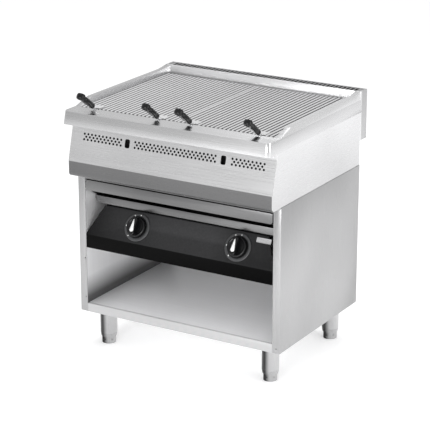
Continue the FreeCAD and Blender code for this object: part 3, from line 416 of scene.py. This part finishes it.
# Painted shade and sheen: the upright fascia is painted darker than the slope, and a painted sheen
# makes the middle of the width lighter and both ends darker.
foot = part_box("console_panel")[0][2]
painted_fascia_shade = [(foot, 0.03), (foot + 0.0475, 0.08), (foot + 0.0495, 0.8), (foot + 0.10, 1.1),
        (foot + 0.15, 1.2)]
low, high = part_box("console_panel")
painted_sheen = [(low[0], 0.35), (low[0] + 0.10, 0.8), (-0.08, 1.15), (0.12, 1.2), (0.24, 0.75),
         (high[0], 0.6)]
painted_light_along(painted_light_along(console_black, "Z", painted_fascia_shade), "X", painted_sheen)
softened("console_panel", "frame", console_black, 0.0008)
setback, rise = 54.0, 97.0  # of the slope, in millimetres
lean = math.atan2(setback, rise)
outward = Vector((0, -math.cos(lean), math.sin(lean)))
upward = Vector((0, math.sin(lean), math.cos(lean)))


def onto_slope(bm, middle):
    """Stands a part made flat round the origin on the console's slope."""
    turn = Matrix((Vector((1, 0, 0)), upward, outward)).transposed().to_4x4()
    bmesh.ops.transform(bm, matrix=Matrix.Translation(middle) @ turn, verts=bm.verts)
    bmesh.ops.recalc_face_normals(bm, faces=bm.faces)


def rounded_plate(bm, long, high, deep, corner, edge):
    """Flat plate with round corners and a soft front edge, its back at height 0."""
    made = bmesh.ops.create_cube(bm, size=1.0)["verts"]
    bmesh.ops.scale(bm, verts=made, vec=(long, high, deep))
    bmesh.ops.translate(bm, verts=made, vec=(0, 0, deep / 2))
    posts = [e for e in bm.edges if abs((e.verts[0].co - e.verts[1].co).z) > deep * 0.9
             and e.verts[0] in made]
    bmesh.ops.bevel(bm, geom=posts, offset=corner, segments=6, profile=0.5, affect="EDGES",
                    material=-1)
    front = [e for e in bm.edges if min(v.co.z for v in e.verts) > deep * 0.99]
    bmesh.ops.bevel(bm, geom=front, offset=edge, segments=3, profile=0.5, affect="EDGES",
                    material=-1)


low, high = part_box("badge_plate")
badge_middle = (Vector(low) + Vector(high)) / 2
badge_long, badge_high, badge_thick = 0.055, 0.017, 0.0010
bm = bmesh.new()
rounded_plate(bm, badge_long, badge_high, badge_thick, 0.0015, 0.0002)
face = max(bm.faces, key=lambda f: f.calc_area() * (f.calc_center_median().z > 0.0008))
bmesh.ops.inset_region(bm, faces=[face], thickness=0.0012, depth=0)
bmesh.ops.inset_region(bm, faces=[face], thickness=0.0005, depth=-0.00035)
onto_slope(bm, badge_middle - outward * 0.0005)
settle(bm, "badge_blank_plate", "frame", brushed("badge_steel", 0.72, 0.22, "x"),
       ["badge_plate"], 25)


# ---- Knobs ----------------------------------------------------------------------------------
# Pressed index ring with four white dots round each knob; the knob is a bakelite skirt with a
# waisted finger bar, and a white teardrop is inlaid on the bar's face to show the setting.
white_inlay = moulded("white_inlay", (0.84, 0.84, 0.82), 0.28)
ring_black = moulded("index_ring_black", (0.045, 0.046, 0.048), 0.34)
half_ring = 0.0026  # from the middle of the index ring back to the slope
dot_radius, dot_circle, dot_angles = 0.0024, 0.0425, (-6, 25, 90, 142)
bar_wide, bar_long, bar_high = 0.0200, 0.0640, 0.0205
drop_radius, drop_length, drop_level = 0.0074, 0.0300, 0.0359


def turned(bm, profile, steps=64):
    """Spins a half section, given as (radius, height) in millimetres, into a closed round part."""
    verts = [bm.verts.new((r / 1000, 0, z / 1000)) for r, z in profile]
    edges = [bm.edges.new(pair) for pair in zip(verts, verts[1:])]
    bmesh.ops.spin(bm, geom=verts + edges, cent=(0, 0, 0), axis=(0, 0, 1), steps=steps,
                   angle=math.tau, use_merge=True, use_duplicate=False)
    bmesh.ops.remove_doubles(bm, verts=bm.verts, dist=1e-6)


for side in ("left", "right"):
    low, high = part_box("bezel_" + side)
    seat = (Vector(low) + Vector(high)) / 2 - outward * half_ring
    bm = bmesh.new()
    turned(bm, [(38, 0.1), (49, 0.1), (49, 3.0), (48.6, 4.1), (47.6, 4.8), (46.5, 5), (40.2, 5),
                (39.4, 4.8), (38.6, 4.0), (38, 3.0), (38, 0.1)])
    onto_slope(bm, seat)
    settle(bm, "index_ring_" + side, "frame", ring_black, ["bezel_" + side], 40)

    bm = bmesh.new()
    for angle in dot_angles:
        spot = bmesh.ops.create_uvsphere(bm, u_segments=16, v_segments=8,
                                         radius=dot_radius)["verts"]
        bmesh.ops.scale(bm, verts=spot, vec=(1, 1, 0.3))
        turn = math.radians(angle)
        bmesh.ops.translate(bm, verts=spot, vec=(-dot_circle * math.sin(turn),
                                                 dot_circle * math.cos(turn), 0.0049))
    onto_slope(bm, seat)
    settle(bm, "index_dots_" + side, "frame", white_inlay, (), 60)

    bm = bmesh.new()
    turned(bm, [(0, 5.6), (33.5, 5.6), (35.3, 6.2), (36, 7.6), (36, 13.4), (35.4, 15.6),
                (33.8, 17.0), (31.8, 17.5), (29.6, 17.3), (28.2, 16.4), (26.0, 16.1), (0, 16.1)])
    onto_slope(bm, seat)
    settle(bm, "knob_skirt_" + side, side + "_knob", bakelite, ["knob_" + side], 40)

    bm = bmesh.new()
    rounded_plate(bm, bar_wide, bar_long, bar_high, 0.0075, 0.0028)
    flanks = [e for e in bm.edges if abs((e.verts[0].co - e.verts[1].co).y) > 0.03]
    bmesh.ops.subdivide_edges(bm, edges=flanks, cuts=5, use_grid_fill=True)
    for v in bm.verts:
        v.co.x *= 0.86 + 0.14 * min(1.0, (v.co.y / 0.024) ** 2)
        v.co.x *= 1.0 + 0.10 * (1 - v.co.z / bar_high)
    bmesh.ops.translate(bm, verts=bm.verts, vec=(0, 0, 0.0155))
    onto_slope(bm, seat)
    settle(bm, "knob_bar_" + side, side + "_knob", bakelite, (), 40)

    bm = bmesh.new()
    drop = bmesh.ops.create_circle(bm, cap_ends=True, segments=32, radius=drop_radius)["verts"]
    for v in drop:
        taper = max(0.0, v.co.y / drop_radius)
        v.co.y += drop_length * taper ** 1.6
        v.co.x *= 1 - 0.42 * taper ** 1.1
        v.co.y -= drop_length / 2
    sheet = bmesh.ops.extrude_face_region(bm, geom=bm.faces[:])["geom"]
    raised = [g for g in sheet if isinstance(g, bmesh.types.BMVert)]
    bmesh.ops.translate(bm, verts=raised, vec=(0, 0, 0.0008))
    brow = [e for e in bm.edges if min(v.co.z for v in e.verts) > 0.0007]
    bmesh.ops.bevel(bm, geom=brow, offset=0.0006, segments=2, profile=0.5, affect="EDGES",
                    material=-1)
    bmesh.ops.translate(bm, verts=bm.verts, vec=(0, 0, drop_level))
    onto_slope(bm, seat)
    settle(bm, "setting_drop_" + side, side + "_knob", white_inlay,
           ["knob_pointer_" + side], 40)


# ---- Gas pipework ---------------------------------------------------------------------------
# Brass valves stand behind the console on a steel rail. Rail, spindles, supply pipe and screws
# are zinc-plated; the bent aluminium pipes that feed the burners are the same dull grey.
brass = brushed("valve_brass", 0.30, 0.35, "z")
zinc = brushed("zinc_plate", 0.35, 0.4, "x")
for side in ("left", "right"):
    dress("valve_body_" + side, brass)
    dress("valve_plug_" + side, brass)
    dress("valve_stem_" + side, zinc)
    dress("feed_pipe_" + side, zinc)
for node in ("manifold", "gas_inlet", "leg_bolts"):
    dress(node, zinc)


# ---- Drip drawer ----------------------------------------------------------------------------
# Shallow folded stainless tray that slides on two plain steel rails. Its folded front doubles
# as the pull.
# Painted shade: the drawer's steel has a dark tone for the shade it sits in under the broiler.
drawer_steel = brushed("drawer_steel", 0.21, 0.32, "x")
softened("drawer_front", "drawer", drawer_steel, 0.0006)
softened("drip_tray", "drawer", drawer_steel, 0.0006)
for side in ("left", "right"):
    dress("runner_" + side, zinc)


# ---- Cabinet --------------------------------------------------------------------------------
# Stainless sheet, spot-welded: double-skinned sides with folded front stiles, a floor pan with
# a deep front rail, a back sheet and a ceiling under the gas space.
cabinet_steel = brushed("cabinet_steel", 0.44, 0.3, "z", 0.05)
lining_steel = brushed("lining_steel", 0.80, 0.38, "z", 0.04, metal=0.3)
floor_steel = brushed("cabinet_floor_steel", 0.80, 0.38, "x", 0.03, metal=0.3)
# Painted light and shade: the cabinet floor is painted with a pool of light just behind its front
# edge, fading darker towards the rear.
low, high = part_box("cabinet_floor")
painted_light_along(floor_steel, "Y", [(low[1], 0.66), (low[1] + 0.004, 0.72), (low[1] + 0.012, 1.18),
                          (-0.04, 1.08), (high[1], 0.70)])
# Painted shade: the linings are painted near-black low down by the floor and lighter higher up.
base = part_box("cabinet_lining_left")[0][2]
painted_light_along(lining_steel, "Z", [(base, 0.07), (base + 0.05, 0.13), (base + 0.13, 1.12),
                           (base + 0.24, 1.18)])
for side in ("left", "right"):
    softened("cabinet_side_" + side, "frame", cabinet_steel, 0.0008)
    dress("cabinet_lining_" + side, lining_steel)
softened("cabinet_floor", "frame", floor_steel, 0.0008)
# Painted light and shade: the back sheet's inner face is painted near-white as light, and its outer
# face is darker, 0.6 of that, as shade. The ceiling shares this finish.
back_steel = brushed("back_sheet_steel", 0.93, 0.40, "x", 0.03, metal=0.1)
low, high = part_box("cabinet_back")
painted_light_along(back_steel, "Y", [(low[1], 1.0), (low[1] + 0.0006, 1.0), (low[1] + 0.0009, 0.6),
                         (high[1], 0.6)])
dress("cabinet_back", back_steel)
dress("cabinet_ceiling", back_steel)
# The front cross rail takes the drawer's dark, painted-shade tone.
dress("front_cross_rail", drawer_steel)


# ---- Legs and screw feet --------------------------------------------------------------------
# Polished tubes with a top plate; each foot screws out of its tube by a hexagonal pad.
for place in ("front_left", "front_right", "rear_left", "rear_right"):
    low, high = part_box("foot_" + place)
    axis = (low[0] + high[0]) / 2
    # Painted light and shade: each leg and foot is painted near-black on its left side and bright
    # on its right, as if lit from the right.
    painted_leg_light = [(axis - 0.031, 0.05), (axis - 0.005, 0.09), (axis + 0.010, 0.95), (axis + 0.031, 1.05)]
    tube = painted_light_along(brushed("leg_steel_" + place, 0.55, 0.24, "z"), "X", painted_leg_light)
    softened("leg_" + place, "frame", tube, 0.0008, 2)
    pad = painted_light_along(brushed("foot_steel_" + place, 0.50, 0.28, "z"), "X", painted_leg_light)
    softened("foot_" + place, "screw_foot_" + place, pad, 0.0005, 2)
